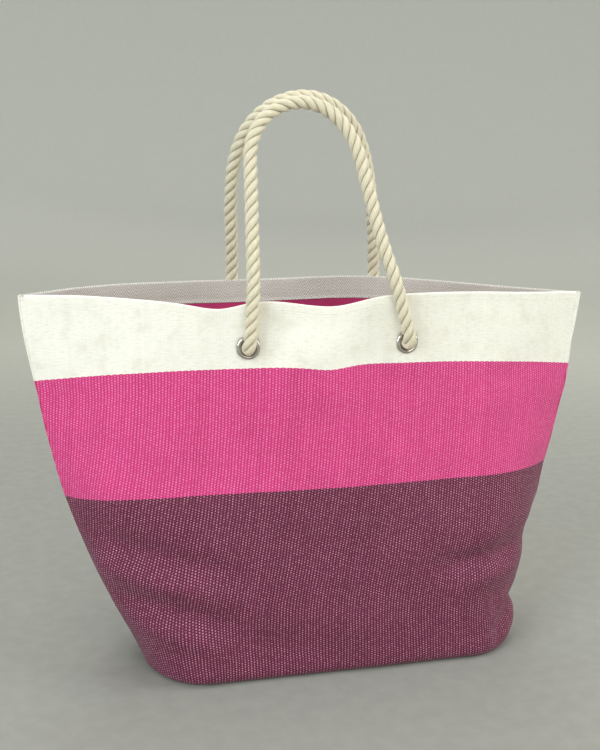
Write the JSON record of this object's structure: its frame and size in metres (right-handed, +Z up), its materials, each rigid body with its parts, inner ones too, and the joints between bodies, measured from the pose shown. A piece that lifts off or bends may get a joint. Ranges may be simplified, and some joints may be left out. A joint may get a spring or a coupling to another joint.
{
  "type": "beach tote bag",
  "caption": "Wide striped cloth beach tote with boxed flat base, contrast lining, metal eyelets and knotted rope handles.",
  "frame": {"origin": "middle of the base, on the surface that the bag stands on", "axes": "+Z up, X along the width between the side seams, front of the bag at -Y"},
  "size_m": [0.5586, 0.1502, 0.5551],
  "materials": {
    "striped_cloth": "coarse woven, white, hot pink and plum bands",
    "lining": "plain woven magenta cotton",
    "twill_facing": "cream cotton twill",
    "eyelet_metal": "polished nickel plate",
    "rope": "three-strand twisted natural cotton"
  },
  "bodies": {
    "bag": {"front_panel": "striped_cloth", "front_lining": "lining", "front_facing": "twill_facing", "front_left_eyelet": "eyelet_metal", "front_left_washer": "eyelet_metal", "front_left_rope_end": "rope", "front_right_eyelet": "eyelet_metal", "front_right_washer": "eyelet_metal", "front_right_rope_end": "rope", "back_panel": "striped_cloth", "back_lining": "lining", "back_facing": "twill_facing", "back_left_eyelet": "eyelet_metal", "back_left_washer": "eyelet_metal", "back_left_rope_end": "rope", "back_right_eyelet": "eyelet_metal", "back_right_washer": "eyelet_metal", "back_right_rope_end": "rope"},
    "front_handle": {"front_handle": "rope"},
    "back_handle": {"back_handle": "rope"}
  },
  "joints": [
    {"name": "front_handle_swing", "type": "hinge", "parent": "bag", "child": "front_handle", "pos_m": [0, -0.05903, 0.3264], "axis": [1, 0, 0], "range_deg": [0, 165]},
    {"name": "back_handle_swing", "type": "hinge", "parent": "bag", "child": "back_handle", "pos_m": [0, 0.05903, 0.3264], "axis": [-1, 0, 0], "range_deg": [0, 165]}
  ]
}
